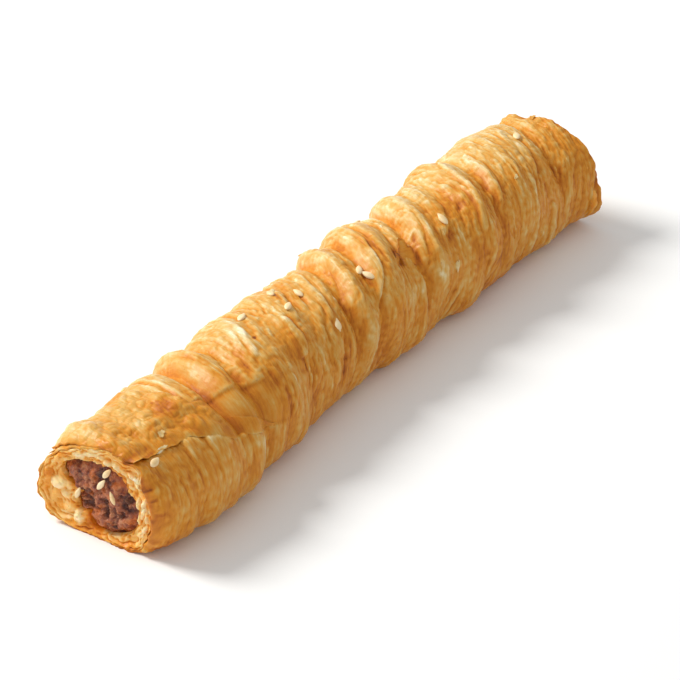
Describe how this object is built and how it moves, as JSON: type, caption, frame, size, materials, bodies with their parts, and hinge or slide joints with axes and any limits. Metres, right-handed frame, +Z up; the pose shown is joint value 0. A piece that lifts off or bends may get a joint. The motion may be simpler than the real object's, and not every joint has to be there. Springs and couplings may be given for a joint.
{
  "type": "borek",
  "caption": "Baked borek stick: a long roll of gathered filo pastry round a minced filling that shows at both ends, lying on its flat underside.",
  "frame": {"origin": "centre of the underside, on the surface that the stick lies on", "axes": "+X along the stick, away from the end shown with its filling; +Z up; -Y towards the long side where the first quarter is puffed out"},
  "size_m": [0.165, 0.0369, 0.0251],
  "materials": {
    "baked_filo": "golden baked filo with a dull egg-wash gloss, cream on the ridges and amber in the creases",
    "minced_filling": "dark red-brown cooked mince with an oily shine",
    "sesame": "pale cream hulled sesame seed"
  },
  "bodies": {
    "root": {"pastry": "baked_filo", "filling": "minced_filling"}
  },
  "joints": []
}
